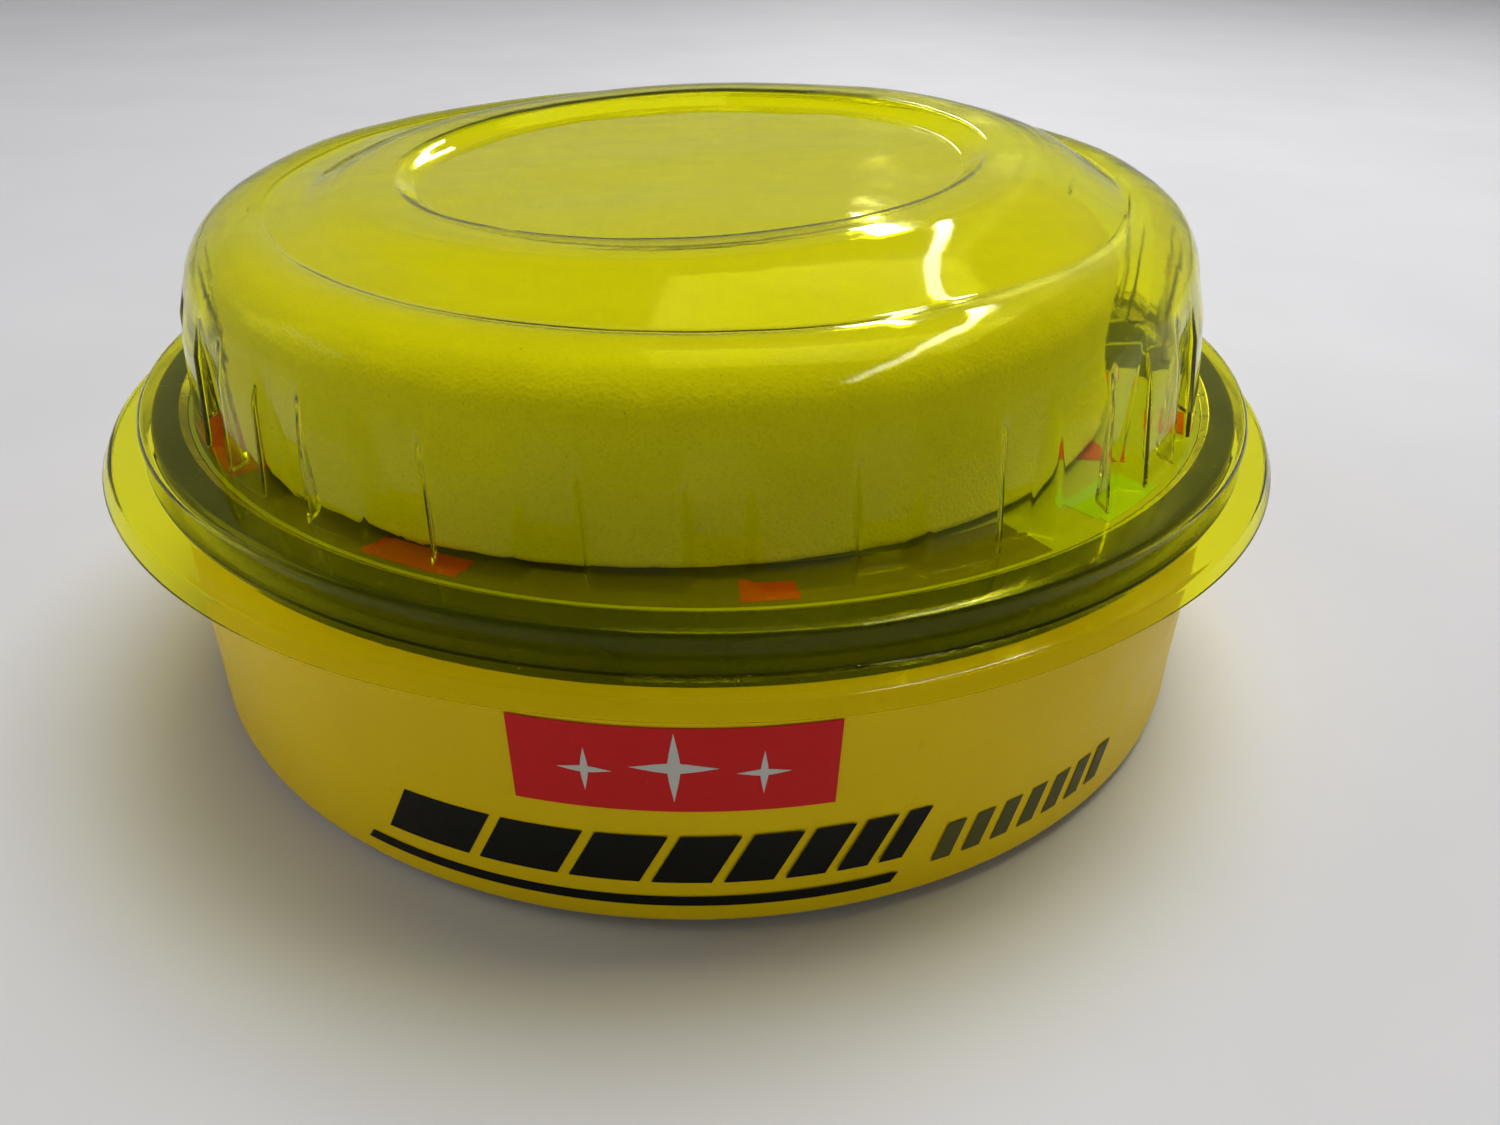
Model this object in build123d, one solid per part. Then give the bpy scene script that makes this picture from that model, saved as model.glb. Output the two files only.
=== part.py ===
from build123d import *
import os

# A round tin of paste polish with a slip-on lid. A clear plastic overcap grips the lid and keeps a
# foam applicator pad on top of it.
# Frame: millimetres, +Z up along the tin's axis, origin at the centre of the face it stands on.
# A round shell of thin sheet is given by the middle line of its section, a list of corners
# (radius, height, bend radius) from the axis outwards.

# ---- driving dimensions ----
CAN_RADIUS = 59.4          # outside of the can's wall
CAN_HEIGHT = 32.65         # top of the can's rolled rim
CAN_PANEL_RADIUS = 51.6    # raised middle of the can's bottom
CAN_PANEL_RISE = 1.1       # how far that middle stands off the table
CAN_FOOT = (53.0, 56.2)    # inner and outer radius of the ring that the can stands on
CAN_HEEL_RISE = 0.9        # how far the can's lower edge stands off the table, outside that ring
CAN_HEEL_BEND = 1.0        # rounding of that lower edge
CAN_RIM_WIDTH = 1.4        # the rim turned inwards at the can's mouth
FILL_HEIGHT = 25.0         # surface of the paste
SHEET = 0.28               # tinplate of the can and the lid

LID_RADIUS = 60.0          # outside of the lid's skirt
LID_BOTTOM = 28.5          # lower edge of the lid's skirt
LID_TOP = 33.5             # raised rim round the lid's panel
LID_PANEL_RADIUS = 56.6    # printed panel inside the raised rim
LID_PANEL_DROP = 0.5       # how far the panel lies below the rim
LID_HEM = 0.45             # step outwards of the curled lower edge
SEAL_THICKNESS = 0.35      # sealing compound under the lid's rim

PAD_RADIUS = 48.2          # foam applicator pad
PAD_BOTTOM = 33.15
PAD_TOP = 50.9
PAD_SHIFT = (-3.2, -2.0)   # the pad lies loose, a little to the left and front of the axis
PAD_EDGE = 3.0             # rounding of its edges

CAP_SHEET = 0.45           # vacuum-formed plastic of the overcap
CAP_RADIUS = 65.0          # outside of the brim
CAP_SLEEVE_RADIUS = 60.93  # middle line of the sleeve that grips the lid
CAP_SHELF = 34.12          # flat shelf that rests on the lid's rim
CAP_WALL_FOOT = 53.6       # middle line of the wall between its lobes, down to the shelf
CAP_WAIST = 46.0           # height where that wall turns upright
CAP_SHOULDER = (52.9, 54.35)   # where the wall and the shoulder would meet if left sharp
CAP_CROWN_FOOT = (45.2, 52.5)  # channel between the shoulder and the raised crown
CAP_CROWN_TOP = 56.1
CAP_CROWN_OUTER = 37.0
CAP_CROWN_INNER = 31.6
CAP_RECESS = (29.4, 54.6)      # shallow round recess in the middle of the crown
CAP_BRIM = 30.3

FLUTES = 26                # lobes pressed outwards all round the wall
FLUTE_WIDTH = 8.9          # degrees taken up by one lobe
FLUTE_PHASE = 8.5          # degrees from the front (-Y) to the middle of the nearest lobe
FLUTE_FOOT = 55.85         # outside radius of a lobe at the shelf
FLUTE_KNEE = (54.75, 44.0)     # radius and height where a lobe's face bends towards the dome
FLUTE_END = (53.42, 48.4)      # where it has run out, inside the wall's thickness


def round_shell(corners, thickness):
    """Revolve a sheet of even thickness whose section follows the given middle line."""
    points = [(radius, height) for radius, height, bend in corners]
    bends = [bend for radius, height, bend in corners[1:-1]]
    middle_line = FilletPolyline(*points, radius=bends)
    return revolve(Plane.XZ * trace(middle_line, line_width=thickness), axis=Axis.Z)


def round_solid(outline, angle=360.0):
    """Revolve a closed outline of (radius, height) points."""
    section = make_face(Polyline(*outline, close=True))
    return revolve(Plane.XZ * section, axis=Axis.Z, revolution_arc=angle)


def make_can_body():
    half = SHEET / 2
    wall = CAN_RADIUS - half
    rim = CAN_HEIGHT - half
    return round_shell(
        [
            (0, CAN_PANEL_RISE + half, 0),
            (CAN_PANEL_RADIUS, CAN_PANEL_RISE + half, 0.8),
            (CAN_FOOT[0], half, 0.5),
            (CAN_FOOT[1], half, 0.5),
            (CAN_FOOT[1] + 1.2, CAN_HEEL_RISE + half, 0.4),
            (wall, CAN_HEEL_RISE + half, CAN_HEEL_BEND),
            (wall, rim, 0.45),
            (wall - CAN_RIM_WIDTH + SHEET, rim, 0.3),
            (wall - CAN_RIM_WIDTH + SHEET, rim - 0.7, 0),
        ],
        SHEET,
    )


def make_polish_paste():
    clearance = 0.03
    side = CAN_RADIUS - SHEET - clearance
    floor = SHEET + clearance
    panel = CAN_PANEL_RISE + floor
    heel = CAN_HEEL_RISE + floor
    corner = 0.89
    return round_solid(
        [
            (0, panel),
            (CAN_PANEL_RADIUS + 0.2, panel),
            (CAN_FOOT[0] + 0.3, floor),
            (CAN_FOOT[1] - 0.25, floor),
            (CAN_FOOT[1] + 1.0, heel),
            (side - corner, heel),
            (side, heel + corner),
            (side, FILL_HEIGHT),
            (0, FILL_HEIGHT),
        ]
    )


def make_lid():
    half = SHEET / 2
    skirt = LID_RADIUS - half
    rim = LID_TOP - half
    panel = rim - LID_PANEL_DROP
    hem = LID_BOTTOM + half
    return round_shell(
        [
            (0, panel, 0),
            (LID_PANEL_RADIUS, panel, 0.5),
            (LID_PANEL_RADIUS + 0.7, rim, 0.4),
            (skirt, rim, 0.6),
            (skirt, hem, 0.2),
            (skirt + LID_HEM, hem, 0.2),
            (skirt + LID_HEM, hem + 0.8, 0),
        ],
        SHEET,
    )


def make_lid_seal():
    top = LID_TOP - SHEET
    inner = CAN_RADIUS - CAN_RIM_WIDTH - 0.1
    outer = CAN_RADIUS - 0.2
    ring = Cylinder(outer, SEAL_THICKNESS) - Cylinder(inner, SEAL_THICKNESS)
    return Pos(0, 0, top - SEAL_THICKNESS / 2) * ring


def make_applicator_sponge():
    thickness = PAD_TOP - PAD_BOTTOM
    pad = Cylinder(PAD_RADIUS, thickness)
    pad = fillet(pad.edges().filter_by(GeomType.CIRCLE), PAD_EDGE)
    return Pos(*PAD_SHIFT, PAD_BOTTOM + thickness / 2) * pad


def cap_shell():
    """The overcap as it would be with a plain round wall."""
    lip = CAP_RADIUS - CAP_SHEET / 2
    return round_shell(
        [
            (0, CAP_RECESS[1], 0),
            (*CAP_RECESS, 1.2),
            (CAP_CROWN_INNER, CAP_CROWN_TOP, 1.6),
            (CAP_CROWN_OUTER, CAP_CROWN_TOP, 10.0),
            (*CAP_CROWN_FOOT, 1.2),
            (*CAP_SHOULDER, 6.4),
            (CAP_WALL_FOOT, CAP_WAIST, 8.0),
            (CAP_WALL_FOOT, CAP_SHELF, 0.35),
            (CAP_SLEEVE_RADIUS, CAP_SHELF, 0.6),
            (CAP_SLEEVE_RADIUS, CAP_BRIM, 0.5),
            (lip - 0.8, CAP_BRIM, 0.5),
            (lip, CAP_BRIM - 1.4, 0),
        ],
        CAP_SHEET,
    )


def cap_flutes(inset, core, bottom, width):
    """All lobes as wedges, width in degrees: their face is set in by inset, their back follows core."""
    face = [(FLUTE_FOOT, bottom), FLUTE_KNEE, FLUTE_END]
    wedge = round_solid([(radius - inset, height) for radius, height in face] + core, width)
    pitch = 360.0 / FLUTES
    start = FLUTE_PHASE - 90.0 - width / 2
    return [Rot(0, 0, start + pitch * index) * wedge for index in range(FLUTES)]


def make_overcap():
    shelf_underside = CAP_SHELF - CAP_SHEET / 2
    lobe_bottom = shelf_underside + 0.05
    lobe_top = FLUTE_END[1]
    in_wall = [(FLUTE_END[0] - 0.2, lobe_top), (CAP_WALL_FOOT, CAP_WAIST), (CAP_WALL_FOOT, lobe_bottom)]
    lobes = cap_flutes(0.0, in_wall, lobe_bottom, FLUTE_WIDTH)
    hollow_bottom = shelf_underside - 0.2
    in_dome = [(FLUTE_END[0] - 1.4, lobe_top), (FLUTE_END[0] - 1.4, hollow_bottom)]
    side_walls = 2 * degrees_of(CAP_SHEET, FLUTE_FOOT)
    hollows = cap_flutes(CAP_SHEET, in_dome, hollow_bottom, FLUTE_WIDTH - side_walls)
    return cap_shell() + lobes - hollows


def degrees_of(length, radius):
    """Angle in degrees that a short length takes up at a radius."""
    return length / radius * 180.0 / 3.14159265


PIECES = {
    "can_body": make_can_body,
    "polish_paste": make_polish_paste,
    "lid": make_lid,
    "lid_seal": make_lid_seal,
    "applicator_sponge": make_applicator_sponge,
    "overcap": make_overcap,
}

os.makedirs("parts", exist_ok=True)
for name, make in PIECES.items():
    export_step(make(), f"parts/{name}.step")
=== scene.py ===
"""A round tin of paste polish: printed can, slip-on lid, foam pad on the lid and a clear lobed overcap.

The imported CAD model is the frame. Each visible piece is built here as a finer mesh that stands for its
CAD node. Lengths are in millimetres until a mesh is made, and heights and radii come from the frame.
"""

import math

import bmesh
import bpy
import numpy as np
from mathutils import Matrix, Vector, noise


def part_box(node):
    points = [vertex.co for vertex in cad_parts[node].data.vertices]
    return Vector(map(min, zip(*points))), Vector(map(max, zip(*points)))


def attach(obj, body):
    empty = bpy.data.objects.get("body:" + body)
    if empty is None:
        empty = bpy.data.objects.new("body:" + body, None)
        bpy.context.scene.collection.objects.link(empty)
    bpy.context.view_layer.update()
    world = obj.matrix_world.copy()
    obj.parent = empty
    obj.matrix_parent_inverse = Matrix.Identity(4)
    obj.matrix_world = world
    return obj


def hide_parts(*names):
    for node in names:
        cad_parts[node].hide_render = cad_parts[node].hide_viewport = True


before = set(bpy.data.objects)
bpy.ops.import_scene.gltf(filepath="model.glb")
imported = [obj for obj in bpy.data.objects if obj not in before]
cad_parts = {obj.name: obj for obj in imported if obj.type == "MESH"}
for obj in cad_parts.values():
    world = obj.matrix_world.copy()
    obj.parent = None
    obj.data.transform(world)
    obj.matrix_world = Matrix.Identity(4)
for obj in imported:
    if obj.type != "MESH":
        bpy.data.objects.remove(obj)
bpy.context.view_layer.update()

noise.seed_set(4)  # without a seed, noise_vector takes one from the clock and each run differs

MM = 0.001
SHEET = 0.28  # tinplate
CAP_SHEET = 0.45  # vacuum-formed plastic


def node_size(node):
    """Largest radius, lowest height and highest height of a round CAD node, in millimetres."""
    low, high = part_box(node)
    return (high.x - low.x) / 2 / MM, low.z / MM, high.z / MM


CAN_RADIUS, _, CAN_TOP = node_size("can_body")
PASTE_RADIUS, PASTE_BOTTOM, PASTE_TOP = node_size("polish_paste")
LID_RADIUS, LID_BOTTOM, LID_TOP = node_size("lid")
SEAL_RADIUS, SEAL_BOTTOM, SEAL_TOP = node_size("lid_seal")
PAD_RADIUS, PAD_BOTTOM, PAD_TOP = node_size("applicator_sponge")
CAP_RADIUS, _, CAP_TOP = node_size("overcap")
PAD_LOW, PAD_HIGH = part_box("applicator_sponge")
PAD_SHIFT = (PAD_LOW + PAD_HIGH) / 2 / MM

CAN_PANEL = 1.1  # rise of the middle of the can's bottom
CAN_PANEL_RADIUS = 51.6
CAN_FOOT = (53.0, 56.2)  # inner and outer radius of the ring that the can stands on
CAN_HEEL = 0.9  # rise of the can's lower edge outside that ring
LID_HEM = 0.45  # step outwards of the lid's curled edge
PANEL_RADIUS = 56.6  # the lid's printed panel
PANEL_DROP = 0.5  # how far it lies below the lid's rim
PANEL_FACE = LID_TOP - PANEL_DROP
INK = 0.03  # thickness of a printed mark
CROWN_SAG = 0.65  # the crown's middle lies this much below its highest side
CROWN_RECESS = 1.5  # depth of the round recess in the crown
RECESS_RADII = (29.4, 31.6)  # foot and top of that recess's side
CROWN_OUTER = 37.0  # the crown's flat ring ends here
CROWN_FOOT = (45.2, 52.5)  # radius and height of the channel between the crown and the shoulder
SHOULDER = (52.9, 54.35)  # where the shoulder and the wall would meet if left sharp
SHELF_RISE = 0.62  # middle line of the shelf above the lid's rim
SLEEVE_RADIUS = 60.93  # middle line of the sleeve round the lid
BRIM_HEIGHT = 30.3
WALL_FOOT = 53.6  # middle line of the overcap's wall between its lobes
WALL_WAIST = 46.0  # height where that wall turns upright
LOBES = 26  # pressed outwards round the overcap's wall
LOBE_PHASE = 8.5  # degrees from the front to the nearest lobe's middle
LOBE_HALF = 4.2  # degrees from a lobe's middle to the middle of its side
LOBE_SIDE = 1.5  # degrees that the side itself takes
LOBE_HEIGHTS = (34.4, 44.0, 46.0, 47.7)  # up a lobe's face, from its foot to where it runs out
LOBE_DEPTHS = (2.0, 0.92, 0.33, 0.0)  # how far it stands out from the wall at those heights


# ---- camera ----------------------------------------------------------------------------------------


def make_camera():
    """A close wide view from the front, looking down on the tin."""
    camera = bpy.data.objects.new("camera", bpy.data.cameras.new("camera"))
    bpy.context.scene.collection.objects.link(camera)
    camera.data.sensor_width = 36.0
    camera.data.lens = 27.05
    camera.data.clip_start = 0.005
    camera.location = (0.0, -128.25 * MM, 82.45 * MM)
    turn_right, look_down, roll = 0.0485, 0.558, 0.0247
    forward = Vector(
        (
            math.sin(turn_right) * math.cos(look_down),
            math.cos(turn_right) * math.cos(look_down),
            -math.sin(look_down),
        )
    )
    camera.rotation_mode = "QUATERNION"
    level = forward.to_track_quat("-Z", "Y")
    camera.rotation_quaternion = level @ Matrix.Rotation(roll, 3, "Z").to_quaternion()
    bpy.context.scene.camera = camera


make_camera()


# ---- mesh tools ------------------------------------------------------------------------------------


def bent_line(corners, spacing=1.0, arc_step=math.radians(9)):
    """Points (r, z) along straight runs joined by arcs. corners are (r, z, bend radius)."""
    points = [np.array(corners[0][:2], float)]
    for before, corner, after in zip(corners, corners[1:], corners[2:]):
        here = np.array(corner[:2], float)
        back = np.array(before[:2], float) - here
        ahead = np.array(after[:2], float) - here
        back /= np.linalg.norm(back)
        ahead /= np.linalg.norm(ahead)
        inside = math.acos(float(np.clip(back @ ahead, -1, 1)))
        radius = corner[2]
        reach = radius / math.tan(inside / 2)
        middle = back + ahead
        centre = here + middle / np.linalg.norm(middle) * radius / math.sin(inside / 2)
        start = here + back * reach - centre
        turn = math.pi - inside
        side = 1.0 if back[0] * ahead[1] - back[1] * ahead[0] < 0 else -1.0
        steps = max(2, round(turn / arc_step))
        for index in range(steps + 1):
            angle = side * turn * index / steps
            cos, sin = math.cos(angle), math.sin(angle)
            points.append(centre + (start[0] * cos - start[1] * sin, start[0] * sin + start[1] * cos))
    points.append(np.array(corners[-1][:2], float))
    line = [points[0]]
    for point in points[1:]:
        gap = np.linalg.norm(point - line[-1])
        if gap < 1e-6:
            continue
        begin = line[-1]
        parts = max(1, math.ceil(gap / spacing))
        line += [begin + (point - begin) * part / parts for part in range(1, parts + 1)]
    return np.array(line)


def sheet_outline(line, thickness):
    """Both faces of a sheet round its middle line: the outer one from the axis, then the inner one back."""
    along = np.gradient(line, axis=0)
    along /= np.linalg.norm(along, axis=1)[:, None]
    across = np.column_stack([-along[:, 1], along[:, 0]]) * thickness / 2
    across[0] = (0.0, thickness / 2)
    return np.vstack([line + across, (line - across)[::-1]])


def even_angles(count):
    return np.arange(count) * 2 * math.pi / count


def turned(name, outline, angles, shape=None):
    """A closed solid of revolution. outline runs from axis to axis; shape moves its (x, y, z) points."""
    rows, columns = len(outline), len(angles)
    r = np.repeat(outline[:, 0], columns)
    z = np.repeat(outline[:, 1], columns)
    a = np.tile(angles, rows)
    points = np.column_stack([r * np.cos(a), r * np.sin(a), z])
    if shape is not None:
        points = shape(points, r, a, z)
    quads = []
    for row in range(rows - 1):
        for column in range(columns):
            after = (column + 1) % columns
            low, high = row * columns, (row + 1) * columns
            quads.append((low + column, high + column, high + after, low + after))
    return mesh_object(name, points, quads)


def mesh_object(name, points, faces, merge=1e-3):
    """A smooth-shaded object from millimetre points, with its doubled points merged and normals outward."""
    mesh = bpy.data.meshes.new(name)
    mesh.from_pydata([tuple(p) for p in points], [], faces)
    work = bmesh.new()
    work.from_mesh(mesh)
    bmesh.ops.remove_doubles(work, verts=work.verts, dist=merge)
    bmesh.ops.recalc_face_normals(work, faces=work.faces)
    work.to_mesh(mesh)
    work.free()
    mesh.transform(Matrix.Scale(MM, 4))
    mesh.polygons.foreach_set("use_smooth", [True] * len(mesh.polygons))
    mesh.set_sharp_from_angle(angle=math.radians(48))
    made = bpy.data.objects.new(name, mesh)
    bpy.context.scene.collection.objects.link(made)
    return made


# ---- materials -------------------------------------------------------------------------------------


def srgb(red, green, blue):
    """A linear RGBA colour from display values 0 to 255."""

    def linear(value):
        value /= 255
        return value / 12.92 if value <= 0.04045 else ((value + 0.055) / 1.055) ** 2.4

    return (linear(red), linear(green), linear(blue), 1.0)


def grey(value):
    return (value, value, value, 1.0)


class Finish:
    """A material with one Principled shader, and short calls for the nodes that feed it."""

    def __init__(self, name, sockets):
        self.material = bpy.data.materials.new(name)
        self.material.use_nodes = True
        self.tree = self.material.node_tree
        self.shader = self.tree.nodes["Principled BSDF"]
        self.place = self.node("TexCoord").outputs["Object"]
        for socket, value in sockets.items():
            self.feed(self.shader, socket, value)

    def node(self, kind, sockets=None, **settings):
        made = self.tree.nodes.new("ShaderNode" + kind)
        for setting, value in settings.items():
            setattr(made, setting, value)
        for socket, value in (sockets or {}).items():
            self.feed(made, socket, value)
        return made

    def feed(self, node, socket, value):
        if isinstance(value, bpy.types.NodeSocket):
            self.tree.links.new(value, node.inputs[socket])
        else:
            node.inputs[socket].default_value = value

    def stretched(self, scale):
        """The piece's own coordinates, scaled by (x, y, z)."""
        return self.node("Mapping", {"Vector": self.place, "Scale": scale}).outputs["Vector"]

    def noise(self, size, detail=3.0, roughness=0.5, vector=None):
        """Soft noise whose patches are about size millimetres across."""
        sockets = {
            "Vector": vector or self.place,
            "Scale": 1 / (size * MM),
            "Detail": detail,
            "Roughness": roughness,
        }
        return self.node("TexNoise", sockets).outputs["Fac"]

    def cells(self, size, randomness=1.0):
        """Distance from the middle of cells about size millimetres across."""
        sockets = {"Vector": self.place, "Scale": 1 / (size * MM), "Randomness": randomness}
        return self.node("TexVoronoi", sockets).outputs["Distance"]

    def ramp(self, factor, *stops):
        """Colours or greys along factor. stops are (position, colour or grey)."""
        made = self.node("ValToRGB", {"Fac": factor})
        elements = made.color_ramp.elements
        while len(elements) < len(stops):
            elements.new(1.0)
        for element, (position, value) in zip(elements, stops):
            element.position = position
            element.color = value if hasattr(value, "__len__") else grey(value)
        return made.outputs["Color"]

    def blend(self, factor, below, above, kind="MIX"):
        made = self.node("Mix", data_type="RGBA", blend_type=kind)
        for socket, value in ((0, factor), (6, below), (7, above)):
            self.feed(made, socket, value)
        return made.outputs[2]

    def bump(self, height, depth, strength=1.0, under=None):
        """Bumps depth millimetres high, on top of the bumps in under."""
        sockets = {"Height": height, "Distance": depth * MM, "Strength": strength}
        if under is not None:
            sockets["Normal"] = under
        return self.node("Bump", sockets).outputs["Normal"]

    def use(self, socket, value):
        self.feed(self.shader, socket, value)


def clear_plastic():
    """Yellow-green clear sheet, faintly uneven and dusty. Soft light and shadows pass it tinted."""
    sheet_tint = (0.93, 0.92, 0.02, 1.0)
    face_tint = (0.96, 0.95, 0.72, 1.0)
    finish = Finish("clear_plastic", {"Base Color": sheet_tint, "IOR": 1.2})
    specks = finish.ramp(finish.noise(0.55, 3.0, 0.6), (0.72, 1.0), (0.78, 0.6))
    film = finish.ramp(finish.noise(24.0, 4.0), (0.3, 0.995), (0.75, 0.975))
    finish.use("Transmission Weight", finish.blend(1.0, specks, film, "MULTIPLY"))
    finish.use("Roughness", finish.ramp(finish.noise(7.0, 4.0, 0.6), (0.4, 0.035), (0.75, 0.09)))
    drawn = finish.bump(finish.noise(9.0, 2.0), 0.10, 0.5)
    hairlines = finish.noise(0.6, 3.0, 0.6, finish.stretched((0.25, 1.0, 0.5)))
    finish.use("Normal", finish.bump(hairlines, 0.012, 0.3, drawn))
    clear = finish.node("BsdfTransparent", {"Color": face_tint})
    path = finish.node("LightPath").outputs
    soft = finish.node("Math", {0: path["Is Shadow Ray"], 1: path["Is Diffuse Ray"]}, operation="MAXIMUM")
    both = finish.node("MixShader", {0: soft.outputs[0], 1: finish.shader.outputs[0], 2: clear.outputs[0]})
    finish.feed(finish.tree.nodes["Material Output"], "Surface", both.outputs[0])
    return finish.material


def litho_print(name, darker, lighter, grimy):
    """Litho print on tinplate with little gloss, and small scuffs that dull it."""
    finish = Finish(name, {"Coat Weight": 0.03, "Coat Roughness": 0.15, "Specular IOR Level": 0.08})
    tone = finish.ramp(finish.noise(26.0, 3.0), (0.3, darker), (0.7, lighter))
    grime = finish.ramp(finish.noise(1.7, 5.0, 0.65), (0.66, 0.0), (0.76, 0.35))
    finish.use("Base Color", finish.blend(grime, tone, grimy))
    finish.use("Roughness", finish.ramp(finish.noise(5.0, 4.0), (0.35, 0.28), (0.7, 0.42)))
    finish.use("Normal", finish.bump(finish.noise(0.9, 2.0), 0.012, 0.5))
    return finish.material


def ink(name, colour, worn):
    """A printed colour, a little rough at its dots, with fine worn specks of a second colour."""
    finish = Finish(name, {"Coat Weight": 0.02, "Coat Roughness": 0.2, "Specular IOR Level": 0.1})
    specks = finish.ramp(finish.noise(0.35, 3.0, 0.7), (0.66, 0.0), (0.78, 0.6))
    finish.use("Base Color", finish.blend(specks, colour, worn))
    finish.use("Roughness", finish.ramp(finish.noise(2.0, 3.0), (0.3, 0.32), (0.7, 0.5)))
    finish.use("Normal", finish.bump(finish.noise(0.3, 2.0), 0.02, 0.5))
    return finish.material


def dark_enamel():
    """Green-black gloss enamel on the lid's rim and skirt."""
    finish = Finish("dark_enamel", {"Coat Weight": 0.15, "Coat Roughness": 0.08, "Specular IOR Level": 0.25})
    tone = finish.ramp(finish.noise(14.0, 3.0), (0.3, srgb(20, 28, 14)), (0.7, srgb(30, 38, 20)))
    rubbed = finish.ramp(finish.noise(0.7, 4.0, 0.7), (0.70, 0.0), (0.80, 0.35))
    finish.use("Base Color", finish.blend(rubbed, tone, srgb(84, 88, 62)))
    finish.use("Roughness", finish.ramp(finish.noise(4.0, 4.0), (0.3, 0.18), (0.7, 0.28)))
    finish.use("Normal", finish.bump(finish.noise(1.6, 2.0), 0.008, 0.5))
    return finish.material


def tinplate():
    """Bare lacquered tinplate: fine rolling lines and a faint gold lacquer."""
    finish = Finish("tinplate", {"Metallic": 1.0, "Coat Weight": 0.2, "Coat Roughness": 0.2})
    rolled = finish.noise(1.2, 4.0, 0.6, finish.stretched((0.08, 1.6, 1.0)))
    stain = finish.ramp(finish.noise(14.0, 4.0), (0.35, srgb(196, 190, 172)), (0.7, srgb(214, 210, 198)))
    finish.use("Base Color", finish.blend(0.25, stain, finish.ramp(rolled, (0.3, 0.45), (0.7, 0.75))))
    finish.use("Roughness", finish.ramp(rolled, (0.3, 0.24), (0.7, 0.38)))
    finish.use("Normal", finish.bump(rolled, 0.006, 0.5))
    return finish.material


def polish():
    """Creamy yellow wax paste, slightly glossy, with fine grain and oily patches."""
    finish = Finish("wax_paste", {"Subsurface Weight": 0.15, "Subsurface Scale": 1.5 * MM})
    tone = finish.ramp(finish.noise(18.0, 4.0), (0.3, srgb(226, 208, 138)), (0.7, srgb(238, 224, 164)))
    finish.use("Base Color", tone)
    finish.use("Roughness", finish.ramp(finish.noise(7.0, 4.0), (0.35, 0.28), (0.7, 0.5)))
    grain = finish.bump(finish.noise(0.7, 4.0, 0.7), 0.05, 0.5)
    finish.use("Normal", finish.bump(finish.noise(6.0, 2.0), 0.3, 0.5, grain))
    return finish.material


def open_foam():
    """Lemon foam of fine open cells, with painted shade in its pores. Faces that point up are painted darker
    than its sides: painted shade on the top, so that the sides look lit through the foam.
    """
    finish = Finish("open_foam", {"Roughness": 0.92, "Sheen Weight": 0.1, "Sheen Roughness": 0.5})
    # Painted shade: the middle of each cell is painted darker than its edges, as shade in the open pores.
    pores = finish.cells(0.34)
    cells_with_painted_pore_shade = finish.ramp(pores, (0.10, srgb(238, 232, 84)), (0.45, srgb(250, 246, 104)))
    tone = finish.ramp(finish.noise(9.0, 4.0), (0.3, grey(0.92)), (0.7, grey(1.0)))
    # Painted shade: faces that point up are painted darker than the sides, so the sides look lit through the
    # foam.
    upright = finish.node("SeparateXYZ", {0: finish.node("TexCoord").outputs["Normal"]}).outputs["Z"]
    painted_shade_by_facing = finish.ramp(upright, (0.3, 1.0), (0.9, 0.78))
    tone_and_painted_shade = finish.blend(1.0, tone, painted_shade_by_facing, "MULTIPLY")
    finish.use("Base Color", finish.blend(1.0, cells_with_painted_pore_shade, tone_and_painted_shade, "MULTIPLY"))
    coarse = finish.bump(finish.noise(1.4, 4.0, 0.7), 0.10, 0.5)
    finish.use("Normal", finish.bump(pores, 0.08, 0.6, coarse))
    return finish.material


def seal_compound():
    """Grey-white rubbery sealing compound."""
    finish = Finish("seal_compound", {"Specular IOR Level": 0.3})
    tone = finish.ramp(finish.noise(4.0, 4.0), (0.3, srgb(196, 192, 178)), (0.7, srgb(216, 212, 200)))
    finish.use("Base Color", tone)
    finish.use("Roughness", finish.ramp(finish.noise(1.5, 3.0), (0.3, 0.55), (0.7, 0.75)))
    finish.use("Normal", finish.bump(finish.noise(0.8, 4.0), 0.04, 0.6))
    return finish.material


def table_top():
    """Pale matt laminate, faintly mottled, with a few small marks."""
    finish = Finish("table_top", {"Specular IOR Level": 0.2})
    tone = finish.ramp(finish.noise(60.0, 4.0), (0.3, srgb(227, 226, 228)), (0.7, srgb(232, 231, 233)))
    marks = finish.ramp(finish.noise(9.0, 6.0, 0.7), (0.70, 0.0), (0.80, 0.35))
    finish.use("Base Color", finish.blend(marks, tone, srgb(172, 164, 148)))
    finish.use("Roughness", finish.ramp(finish.noise(20.0, 3.0), (0.3, 0.5), (0.7, 0.62)))
    finish.use("Normal", finish.bump(finish.noise(1.2, 3.0), 0.02, 0.4))
    return finish.material


PLASTIC = clear_plastic()
PRINT = litho_print("can_yellow", srgb(240, 204, 0), srgb(248, 214, 1), srgb(186, 150, 10))
LEMON = litho_print("lid_lemon", srgb(158, 166, 8), srgb(168, 176, 14), srgb(122, 124, 26))
ENAMEL = dark_enamel()
TIN = tinplate()
RED = ink("red_ink", srgb(220, 34, 32), srgb(214, 96, 84))
BLACK = ink("black_ink", srgb(13, 14, 9), srgb(66, 62, 24))
DARK = ink("dark_green_ink", srgb(38, 48, 20), srgb(80, 86, 34))
GREY = ink("grey_ink", srgb(88, 86, 40), srgb(150, 138, 40))
WHITE = ink("white_ink", srgb(214, 214, 204), srgb(196, 150, 140))
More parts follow.
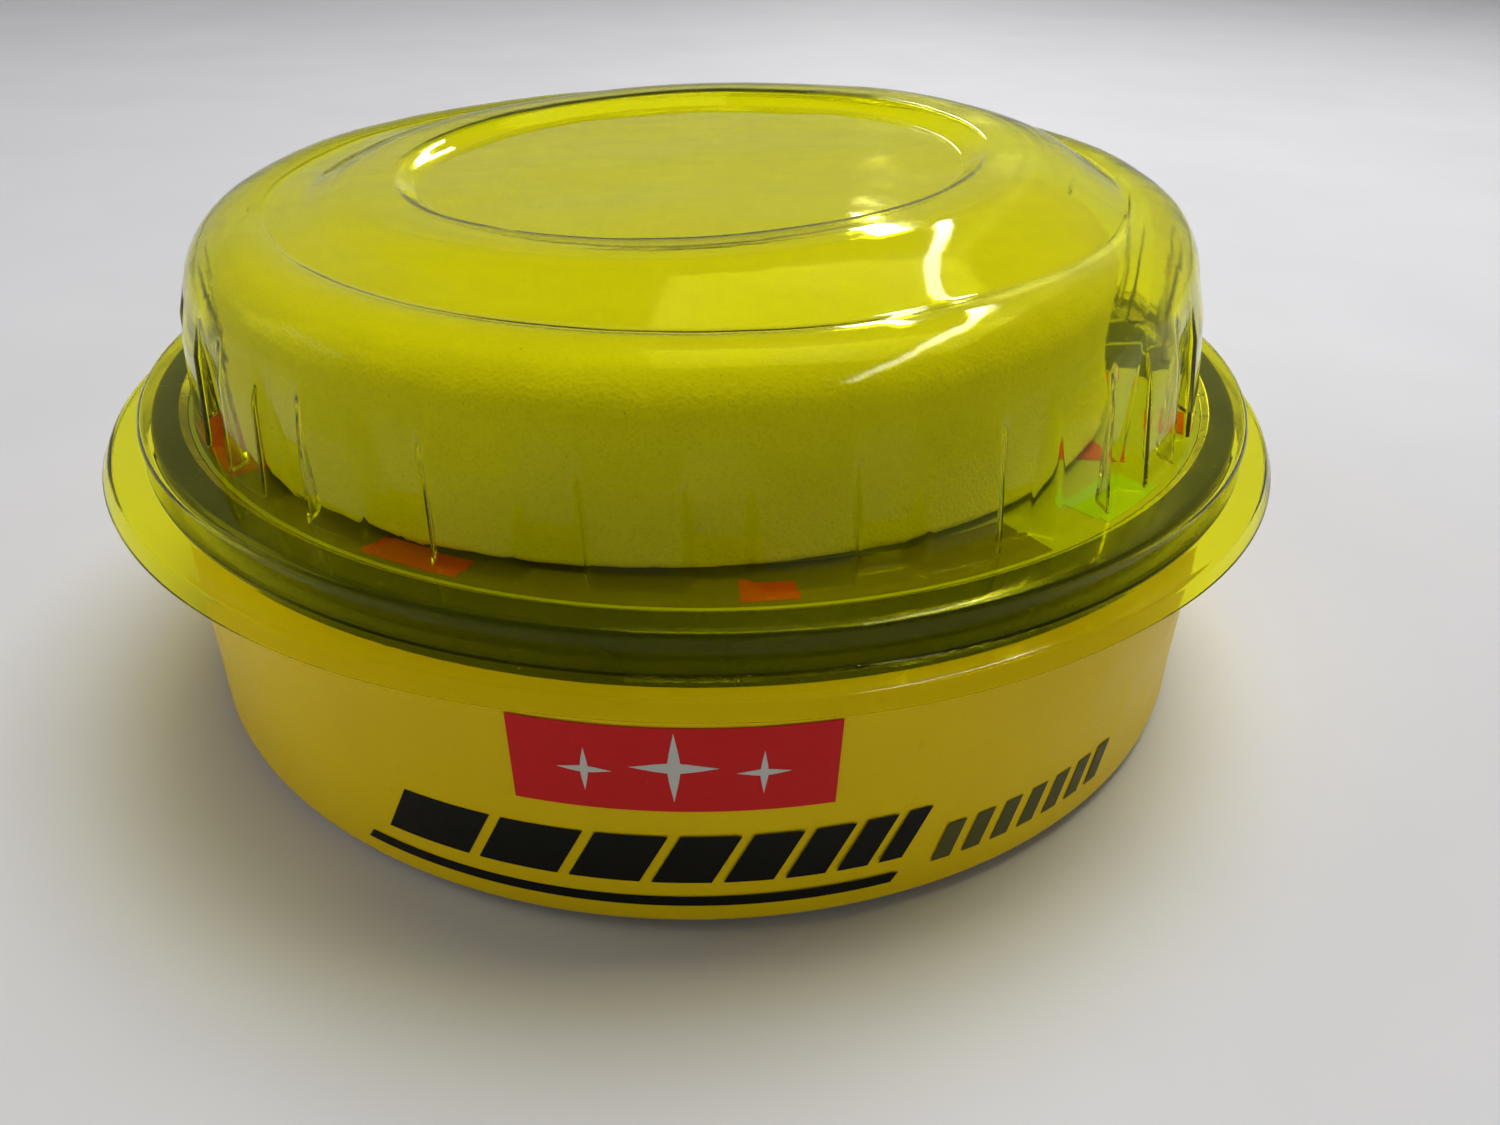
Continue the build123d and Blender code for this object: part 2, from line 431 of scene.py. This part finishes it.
# Dark olive painted on the lid's front left: a painted shadow of the foam pad.
PAD_SHADOW_INK = ink("painted_pad_shadow_ink", srgb(100, 96, 10), srgb(128, 124, 24))
ORANGE = ink("orange_ink", srgb(180, 62, 14), srgb(226, 140, 40))
GREEN = ink("green_ink", srgb(150, 190, 30), srgb(190, 200, 60))


# ---- printed marks ---------------------------------------------------------------------------------


def on_can(u, v, lift):
    """A point on the can's wall: u round it from the front, v up, lift off the print."""
    angle = u / CAN_RADIUS - math.pi / 2
    radius = CAN_RADIUS + lift
    return radius * math.cos(angle), radius * math.sin(angle), v


def on_lid(u, v, lift):
    """A point on the lid's flat panel."""
    return u, v, PANEL_FACE + lift


def printed(name, outlines, place, lift, colour, body):
    """Flat outlines printed on a surface as one very thin closed piece, lift millimetres off it."""
    points, faces = [], []
    for outline in outlines:
        flat = flat_patch(outline)
        start, count = len(points), len(flat.verts)
        for level in (lift, lift + INK):
            points += [place(vertex.co.x, vertex.co.y, level) for vertex in flat.verts]
        for face in flat.faces:
            ring = [vertex.index + start for vertex in face.verts]
            faces.append([index + count for index in ring])
            faces.append(ring[::-1])
        for edge in flat.edges:
            if len(edge.link_faces) == 1:
                a, b = (vertex.index + start for vertex in edge.verts)
                faces.append([a, b, b + count, a + count])
        flat.free()
    made = mesh_object(name, points, faces, merge=1e-5)
    made.data.materials.append(colour)
    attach(made, body)
    return made


def flat_patch(outline):
    """A filled flat outline, cut every millimetre along u so that it can follow a curve."""
    flat = bmesh.new()
    flat.faces.new([flat.verts.new((u, v, 0.0)) for u, v in outline])
    bmesh.ops.triangulate(flat, faces=flat.faces)
    low = min(u for u, v in outline)
    high = max(u for u, v in outline)
    for u in np.arange(math.floor(low) + 1, high, 1.0):
        every = flat.verts[:] + flat.edges[:] + flat.faces[:]
        bmesh.ops.bisect_plane(flat, geom=every, plane_co=(u, 0, 0), plane_no=(1, 0, 0))
    flat.normal_update()
    flat.verts.index_update()
    return flat


def slanted(left, width, low, high, slant):
    """A leaning block: its top is shifted right by slant."""
    return [(left, low), (left + width, low), (left + width + slant, high), (left + slant, high)]


def sparkle(u, v, size, waist=0.2):
    """A star of four long points with hollow sides."""
    points = []
    for quarter in range(4):
        tip = quarter * math.pi / 2
        for angle, radius in ((tip, 1.0), (tip + 0.26, 0.42), (tip + math.pi / 4, waist), (tip + 1.31, 0.42)):
            points.append((u + size * radius * math.cos(angle), v + size * radius * math.sin(angle)))
    return points


def round_point(radius, angle):
    """A flat point from its radius and its angle in degrees, counted from the front to the right."""
    return radius * math.sin(math.radians(angle)), -radius * math.cos(math.radians(angle))


def ring_block(inner, outer, start, end):
    """Part of a ring between two radii and two angles in degrees, counted from the front to the right."""
    steps = max(2, math.ceil((end - start) / 3))
    angles = [start + (end - start) * step / steps for step in range(steps + 1)]
    far = [round_point(outer, angle) for angle in angles]
    return far + [round_point(inner, angle) for angle in reversed(angles)]


# ---- can -------------------------------------------------------------------------------------------


def paint(piece, materials, choose):
    """Give every face the material whose number choose(radius, height, outward, up) returns for it."""
    mesh = piece.data
    for material in materials:
        mesh.materials.append(material)
    count = len(mesh.polygons)
    centres, normals = np.empty(count * 3), np.empty(count * 3)
    mesh.polygons.foreach_get("center", centres)
    mesh.polygons.foreach_get("normal", normals)
    centres, normals = centres.reshape(-1, 3) / MM, normals.reshape(-1, 3)
    radius = np.hypot(centres[:, 0], centres[:, 1])
    outward = (centres[:, :2] * normals[:, :2]).sum(1) / np.maximum(radius, 1e-6)
    mesh.polygons.foreach_set("material_index", choose(radius, centres[:, 2], outward, normals[:, 2]))


def make_can():
    """Drawn can with a raised bottom panel, stacking beads in it and a rolled rim."""
    half = SHEET / 2
    wall, rim = CAN_RADIUS - half, CAN_TOP - half
    panel = CAN_PANEL + half
    line = bent_line(
        [
            (0, panel, 0),
            (38.0, panel, 1.2),
            (39.2, panel - 0.55, 0.9),
            (41.6, panel - 0.55, 0.9),
            (42.8, panel, 1.2),
            (CAN_PANEL_RADIUS, panel, 0.8),
            (CAN_FOOT[0], half, 0.5),
            (CAN_FOOT[1], half, 0.5),
            (CAN_FOOT[1] + 1.2, CAN_HEEL + half, 0.4),
            (wall, CAN_HEEL + half, 1.0),
            (wall, rim, 0.45),
            (wall - 1.12, rim, 0.3),
            (wall - 1.12, rim - 0.7, 0),
        ],
        1.2,
    )
    can = turned("can_shell", sheet_outline(line, SHEET), even_angles(288), dented)
    paint(
        can,
        [PRINT, TIN],
        lambda r, z, outward, up: np.where((r > wall - 0.6) & (outward > 0.2) & (z < rim - 0.3), 0, 1),
    )
    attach(can, "can")
    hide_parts("can_body")


def dented(points, r, a, z):
    """Thin tinplate is never quite round: very shallow waves in the wall, none at its rim or base."""
    share = np.clip(z / 6, 0, 1) * np.clip((CAN_TOP - 4 - z) / 6, 0, 1)
    places = [Vector((math.cos(t) * 2.1, math.sin(t) * 2.1, h / 22)) for t, h in zip(a, z)]
    wave = np.array([noise.noise(place) for place in places])
    inward = 0.16 * share * (wave - 0.6)
    points[:, 0] += inward * np.cos(a)
    points[:, 1] += inward * np.sin(a)
    return points


def degrees_round(angle):
    """Length round the can's wall of an angle in degrees."""
    return math.radians(angle) * CAN_RADIUS


def make_can_marks():
    """Plain printed shapes: a red badge with sparkles, leaning black bars, a black stripe and grey ticks."""
    left, right = degrees_round(-15.5), degrees_round(10.8)
    badge = [(left, 14.9), (right, 14.9), (right + 0.2, 23.9), (left - 0.2, 23.9)]
    printed("badge", [badge], on_can, 0.02, RED, "can")
    middle = (left + right) / 2
    sparkles = [
        sparkle(middle, 19.7, 3.7),
        sparkle(middle - 7.4, 19.1, 2.3),
        sparkle(middle + 7.4, 19.1, 2.3),
    ]
    printed("badge_sparkles", sparkles, on_can, 0.02 + INK, WHITE, "can")
    bars, start = [], degrees_round(-29.0)
    for width in (8.6, 7.4, 6.3, 5.3, 4.4, 3.6, 2.9, 2.3):
        bars.append(slanted(start, width, 6.4, 11.9, 2.6))
        start += width + 1.05
    printed("bars", bars, on_can, 0.02, BLACK, "can")
    stripe = slanted(degrees_round(-32), degrees_round(48.6), 3.5, 4.6, 0.7)
    printed("stripe", [stripe], on_can, 0.02, BLACK, "can")
    ticks = [slanted(degrees_round(20.5) + 3.3 * step, 2.0, 4.7, 8.9, 1.4) for step in range(7)]
    printed("ticks", ticks, on_can, 0.02, GREY, "can")


# ---- paste, lid and seal ---------------------------------------------------------------------------


def make_paste():
    """Wax filled to a flat surface that has shrunk a little in the middle and crept up at the wall."""
    clear = 0.06
    side, low = PASTE_RADIUS - clear, PASTE_BOTTOM + clear
    outline = bent_line(
        [
            (0, PASTE_TOP - 0.9, 0),
            (side - 3.0, PASTE_TOP - 0.9, 3.0),
            (side, PASTE_TOP - 0.05, 0.2),
            (side, low + CAN_HEEL + 0.9, 0.3),
            (side - 0.9, low + CAN_HEEL, 0.3),
            (CAN_FOOT[1] + 0.9, low + CAN_HEEL, 0.2),
            (CAN_FOOT[1] - 0.3, low, 0.2),
            (CAN_FOOT[0] + 0.4, low, 0.2),
            (CAN_PANEL_RADIUS, low + CAN_PANEL, 0.2),
            (0, low + CAN_PANEL, 0),
        ],
        1.0,
    )
    paste = turned("wax_fill", outline, even_angles(240), settled)
    paste.data.materials.append(polish())
    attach(paste, "can")
    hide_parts("polish_paste")


def settled(points, r, a, z):
    """Slow ripples in the wax's surface, and a fine set line a third of the way in."""
    top = np.clip((z - PASTE_TOP + 4) / 2, 0, 1)
    for index in np.nonzero(top)[0]:
        x, y = points[index, :2]
        slow = noise.noise(Vector((x / 17, y / 17, 3.1)))
        fine = noise.noise(Vector((x / 4.5, y / 4.5, 7.7)))
        ripple = 0.10 * math.cos(r[index] * 0.62) * math.exp(-r[index] / 26)
        points[index, 2] += top[index] * (0.28 * slow + 0.07 * fine + ripple - 0.25)
    return points


def make_lid():
    """Pressed lid: printed panel sunk a little below a dark raised rim, skirt and curled hem."""
    half = SHEET / 2
    skirt, rim, hem = LID_RADIUS - LID_HEM - half, LID_TOP - half, LID_BOTTOM + half
    panel = rim - PANEL_DROP
    line = bent_line(
        [
            (0, panel, 0),
            (PANEL_RADIUS, panel, 0.5),
            (PANEL_RADIUS + 0.7, rim, 0.4),
            (skirt, rim, 0.6),
            (skirt, hem, 0.2),
            (skirt + LID_HEM, hem, 0.2),
            (skirt + LID_HEM, hem + 0.8, 0),
        ],
        1.2,
    )
    lid = turned("lid_shell", sheet_outline(line, SHEET), even_angles(288))

    def choose(r, z, outward, up):
        panel_face = (up > 0.5) & (z > panel) & (r < PANEL_RADIUS - 0.5)
        bare = ((up < -0.3) & (z > panel - 1)) | ((outward < -0.3) & (r < skirt))
        return np.where(panel_face, 0, np.where(bare, 2, 1))

    paint(lid, [LEMON, ENAMEL, TIN], choose)
    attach(lid, "lid")
    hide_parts("lid")


def make_lid_marks():
    """Plain printed shapes on the lid's panel: a centre disc with sparkles, a ring and blocks, and a dark
    olive band on the front left that is a painted shadow of the foam pad.
    """
    disc = [(21 * math.cos(angle), 21 * math.sin(angle)) for angle in even_angles(72)]
    printed("lid_disc", [disc], on_lid, 0.01, RED, "lid")
    stars = [sparkle(0, 0, 12.0), sparkle(-11.5, 8.5, 5.0), sparkle(11.5, -8.5, 5.0)]
    printed("lid_sparkles", stars, on_lid, 0.01 + INK, WHITE, "lid")
    rings = [ring_block(24.0, 26.0, start, start + 90) for start in (0, 90, 180, 270)]
    printed("lid_ring", rings, on_lid, 0.01, BLACK, "lid")
    # Dark olive band on the panel's front left: a painted shadow of the foam pad.
    printed("lid_painted_pad_shadow", [ring_block(49.6, 56.0, -76, 32)], on_lid, 0.01, PAD_SHADOW_INK, "lid")
    orange = [ring_block(52.4, 55.4, *span) for span in ((-68, -52), (-31, -21), (3, 8), (64, 70))]
    orange += [ring_block(52.4, 55.4, 120 + 36 * step, 132 + 36 * step) for step in range(4)]
    orange += [ring_block(44.6, 48.0, 77, 81)]
    orange.append([round_point(46.4, 50), round_point(47.2, 57), round_point(50.6, 53)])
    printed("lid_orange", orange, on_lid, 0.01 + INK, ORANGE, "lid")
    dark = [ring_block(45.5, 55.8, start, start + 8.5) for start in (82, 91.5, 101)]
    dark += [ring_block(52.2, 55.8, start, start + 8.5) for start in (-106, -96.5, -87, -77.5)]
    printed("lid_dark", dark, on_lid, 0.01, DARK, "lid")
    green = [ring_block(50.6, 55.8, 40, 50)]
    printed("lid_green", green, on_lid, 0.01, GREEN, "lid")


def make_seal():
    """Soft ring of compound flowed under the lid's rim, rounded and slightly uneven."""
    clear = 0.03
    inner, outer = 57.9 + clear, SEAL_RADIUS - clear
    low, high = SEAL_BOTTOM + clear, SEAL_TOP - clear
    bend = (high - low) * 0.48
    middle = (inner + outer) / 2
    outline = bent_line(
        [
            (middle, low, 0),
            (outer, low, bend),
            (outer, high, bend),
            (inner, high, bend),
            (inner, low, bend),
            (middle, low, 0),
        ],
        0.3,
        math.radians(30),
    )

    def flowed(points, r, a, z):
        places = [Vector((math.cos(t) * 9, math.sin(t) * 9, 1.7)) for t in a]
        pinch = np.array([0.5 + 0.5 * noise.noise(place) for place in places])
        scale = 1 - (r - middle) / r * 0.25 * pinch
        points[:, :2] *= scale[:, None]
        return points

    seal = turned("seal_ring", outline, even_angles(240), flowed)
    seal.data.materials.append(seal_compound())
    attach(seal, "lid")
    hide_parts("lid_seal")


# ---- foam pad --------------------------------------------------------------------------------------


def make_foam_pad():
    """Die-cut foam pad: its faces are uneven, its edges soft and its foot pressed a little outwards."""
    clear = 0.05
    radius = PAD_RADIUS - clear
    low, high = PAD_BOTTOM + clear, PAD_TOP - clear
    middle, half = (low + high) / 2, (high - low) / 2
    line = bent_line([(0, low, 0), (radius, low, 0.9), (radius, high, 4.5), (0, high, 0)], 0.8)

    def springy(points, r, a, z):
        level = (z - middle) / half
        side = np.clip((r - radius + 5) / 5, 0, 1)
        spread = side * (1.5 * np.clip(-level, 0, 1) ** 2 - 0.2 * (1 - level**2))
        for index, (x, y, height) in enumerate(points):
            slow = noise.noise(Vector((x, y, height)) / 19)
            fine = noise.noise(Vector((x, y, height)) / 2.6)
            open_cells = noise.noise(Vector((x, y, height)) / 1.1)
            give = 0.24 + 0.16 * slow + 0.07 * fine + 0.05 * open_cells
            inward = give * side[index] - spread[index]
            points[index, :2] *= 1 - inward / radius
            points[index, 2] = middle + (height - middle) * (1 - give / half)
        top = np.clip(points[:, 2] - middle, 0, half) / half
        points[:, 0] += PAD_SHIFT.x
        points[:, 1] += PAD_SHIFT.y
        from_axis = np.hypot(points[:, 0], points[:, 1])
        points[:, :2] *= np.minimum(1, (WALL_FOOT - 0.6) / np.maximum(from_axis, 1e-6))[:, None]
        points[:, 2] += top * (lean(points[:, 0], points[:, 1]) - 0.35)
        return points

    pad = turned("foam_pad", line, even_angles(384), springy)
    pad.data.materials.append(open_foam())
    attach(pad, "pad")
    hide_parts("applicator_sponge")


# ---- overcap ---------------------------------------------------------------------------------------


def lobe_angles():
    """Angles round the overcap, closest together at the steep sides of its lobes."""
    sides = [LOBE_HALF + LOBE_SIDE * step / 6 for step in range(-4, 5)]
    half = [0.0, 1.3, 2.5, *sides, 5.6, 180.0 / LOBES]
    offsets = sorted({-offset for offset in half[1:-1]} | set(half))
    pitch = 360.0 / LOBES
    angles = [LOBE_PHASE - 90 + pitch * lobe + offset for lobe in range(LOBES) for offset in offsets]
    return np.radians(np.array(angles))


def lobe_share(a):
    """1 on a lobe, 0 between lobes, and a smooth steep step at its sides."""
    pitch = 360.0 / LOBES
    offset = np.abs((np.degrees(a) + 90 - LOBE_PHASE + pitch / 2) % pitch - pitch / 2)
    share = np.clip((LOBE_HALF + LOBE_SIDE / 2 - offset) / LOBE_SIDE, 0, 1)
    return share * share * (3 - 2 * share)


def lean(x, y):
    """Rise of the overcap's dome, which is pushed up a little at the back and on the right."""
    return 0.019 * x + 0.021 * y


def formed(points, r, a, z):
    """Lobes, the leaning dome and crown, the warped brim and the shallow unevenness of a formed sheet."""
    depth = np.interp(z, LOBE_HEIGHTS, LOBE_DEPTHS)
    foot = WALL_FOOT + 0.5
    reach = np.clip((58.8 - r) / (58.8 - foot), 0, 1)
    push = depth * reach * lobe_share(a)
    brim = np.clip((r - 61.4) / 3.2, 0, 1) * (z < LID_TOP - 1)
    free = np.clip((z - LID_TOP - 1) / 4, 0, 1)
    points[:, 0] += push * np.cos(a) - 0.45 * brim
    points[:, 1] += push * np.sin(a)
    dome = np.clip((z - LID_TOP - 2) / 11, 0, 1)
    crown = np.clip((45.5 - r) / 5, 0, 1) * (z > WALL_WAIST)
    points[:, 2] += dome * lean(points[:, 0], points[:, 1]) + crown * 0.036 * points[:, 0]
    points[:, 0] -= 0.45 * dome + 0.8 * crown
    for index, point in enumerate(points):
        wave = noise.noise_vector(Vector(point) / 15)
        ripple = noise.noise_vector(Vector(point) / 5)
        amount = 0.03 + 0.13 * free[index]
        points[index] += amount * np.array(wave) + 0.2 * amount * np.array(ripple)
        points[index, 2] += 0.3 * brim[index] * noise.noise(Vector((*point[:2], 4.0)) / 30)
    return points


def make_overcap():
    """Clear vacuum-formed dome: recessed crown, round shoulder, lobed wall, sleeve and flared brim."""
    half = CAP_SHEET / 2
    crown = CAP_TOP - half - CROWN_SAG
    lip = CAP_RADIUS - half
    shelf = LID_TOP + SHELF_RISE
    line = bent_line(
        [
            (0, crown - CROWN_RECESS, 0),
            (RECESS_RADII[0], crown - CROWN_RECESS, 1.2),
            (RECESS_RADII[1], crown, 1.3),
            (CROWN_OUTER, crown, 10.0),
            (*CROWN_FOOT, 1.2),
            (*SHOULDER, 6.4),
            (WALL_FOOT, WALL_WAIST, 8.0),
            (WALL_FOOT, shelf, 0.35),
            (SLEEVE_RADIUS, shelf, 0.6),
            (SLEEVE_RADIUS, BRIM_HEIGHT, 0.5),
            (lip - 0.8, BRIM_HEIGHT, 0.5),
            (lip, BRIM_HEIGHT - 1.4, 0),
        ],
        0.85,
        math.radians(10),
    )
    cap = turned("overcap_shell", sheet_outline(line, CAP_SHEET), lobe_angles(), formed)
    cap.data.materials.append(PLASTIC)
    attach(cap, "cap")
    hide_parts("overcap")


# ---- stage -----------------------------------------------------------------------------------------


def make_floor():
    side, drop = 2000.0, 0.02
    corners = [(-side, -side, -drop), (side, -side, -drop), (side, side, -drop), (-side, side, -drop)]
    floor = mesh_object("floor", corners, [(0, 1, 2, 3)])
    floor.data.materials.append(table_top())


def area_light(name, place, size, power):
    """A rectangular light that faces straight down until it is turned. Metres and watts."""
    light = bpy.data.lights.new(name, "AREA")
    light.shape = "RECTANGLE"
    light.size, light.size_y = size
    light.energy = power
    lamp = bpy.data.objects.new(name, light)
    lamp.location = place
    bpy.context.scene.collection.objects.link(lamp)
    return lamp


def make_room():
    """A dim room that is brightest low down on its walls. The side in front of the tin is a little darker."""
    world = bpy.data.worlds.new("room")
    world.use_nodes = True
    nodes, links = world.node_tree.nodes, world.node_tree.links
    split = nodes.new("ShaderNodeSeparateXYZ")
    links.new(nodes.new("ShaderNodeTexCoord").outputs["Generated"], split.inputs[0])
    height, depth = nodes.new("ShaderNodeMapRange"), nodes.new("ShaderNodeMapRange")
    links.new(split.outputs["Z"], height.inputs["Value"])
    links.new(split.outputs["Y"], depth.inputs["Value"])
    height.inputs["From Max"].default_value = 0.7
    height.inputs["To Min"].default_value = 0.42
    height.inputs["To Max"].default_value = 0.08
    depth.inputs["From Min"].default_value = -1.0
    depth.inputs["To Min"].default_value = 0.8
    depth.inputs["To Max"].default_value = 1.0
    both = nodes.new("ShaderNodeMath")
    both.operation = "MULTIPLY"
    links.new(height.outputs[0], both.inputs[0])
    links.new(depth.outputs[0], both.inputs[1])
    links.new(both.outputs[0], nodes["Background"].inputs["Strength"])
    nodes["Background"].inputs["Color"].default_value = (0.97, 0.98, 1.0, 1.0)
    bpy.context.scene.world = world


def make_lights():
    """A soft panel over and behind the tin, a window on the left, and strips that only make highlights."""
    panel = area_light("ceiling_panel", (0.20, 0.24, 0.80), (0.60, 0.50), 6.0)
    panel.visible_glossy = False
    window = area_light("window", (-1.5, 0.2, 0.8), (0.9, 0.9), 4.5)
    window.rotation_euler = (0.0, math.radians(-62), 0.0)
    window.visible_glossy = False
    frame_edge = area_light("window_edge", (-1.5, 0.2, 0.8), (0.16, 0.6), 4.0)
    frame_edge.rotation_euler = window.rotation_euler
    tubes = [area_light("tube_near", (0.60, 0.55, 1.30), (0.07, 2.6), 15.0)]
    tubes.append(area_light("tube_far", (0.42, 2.60, 1.30), (0.07, 2.0), 15.0))
    for strip in (frame_edge, *tubes):
        strip.visible_diffuse = False


make_can()
make_can_marks()
make_paste()
make_lid()
make_lid_marks()
make_seal()
make_foam_pad()
make_overcap()
make_floor()
make_room()
make_lights()
bpy.context.scene.view_settings.view_transform = "Standard"
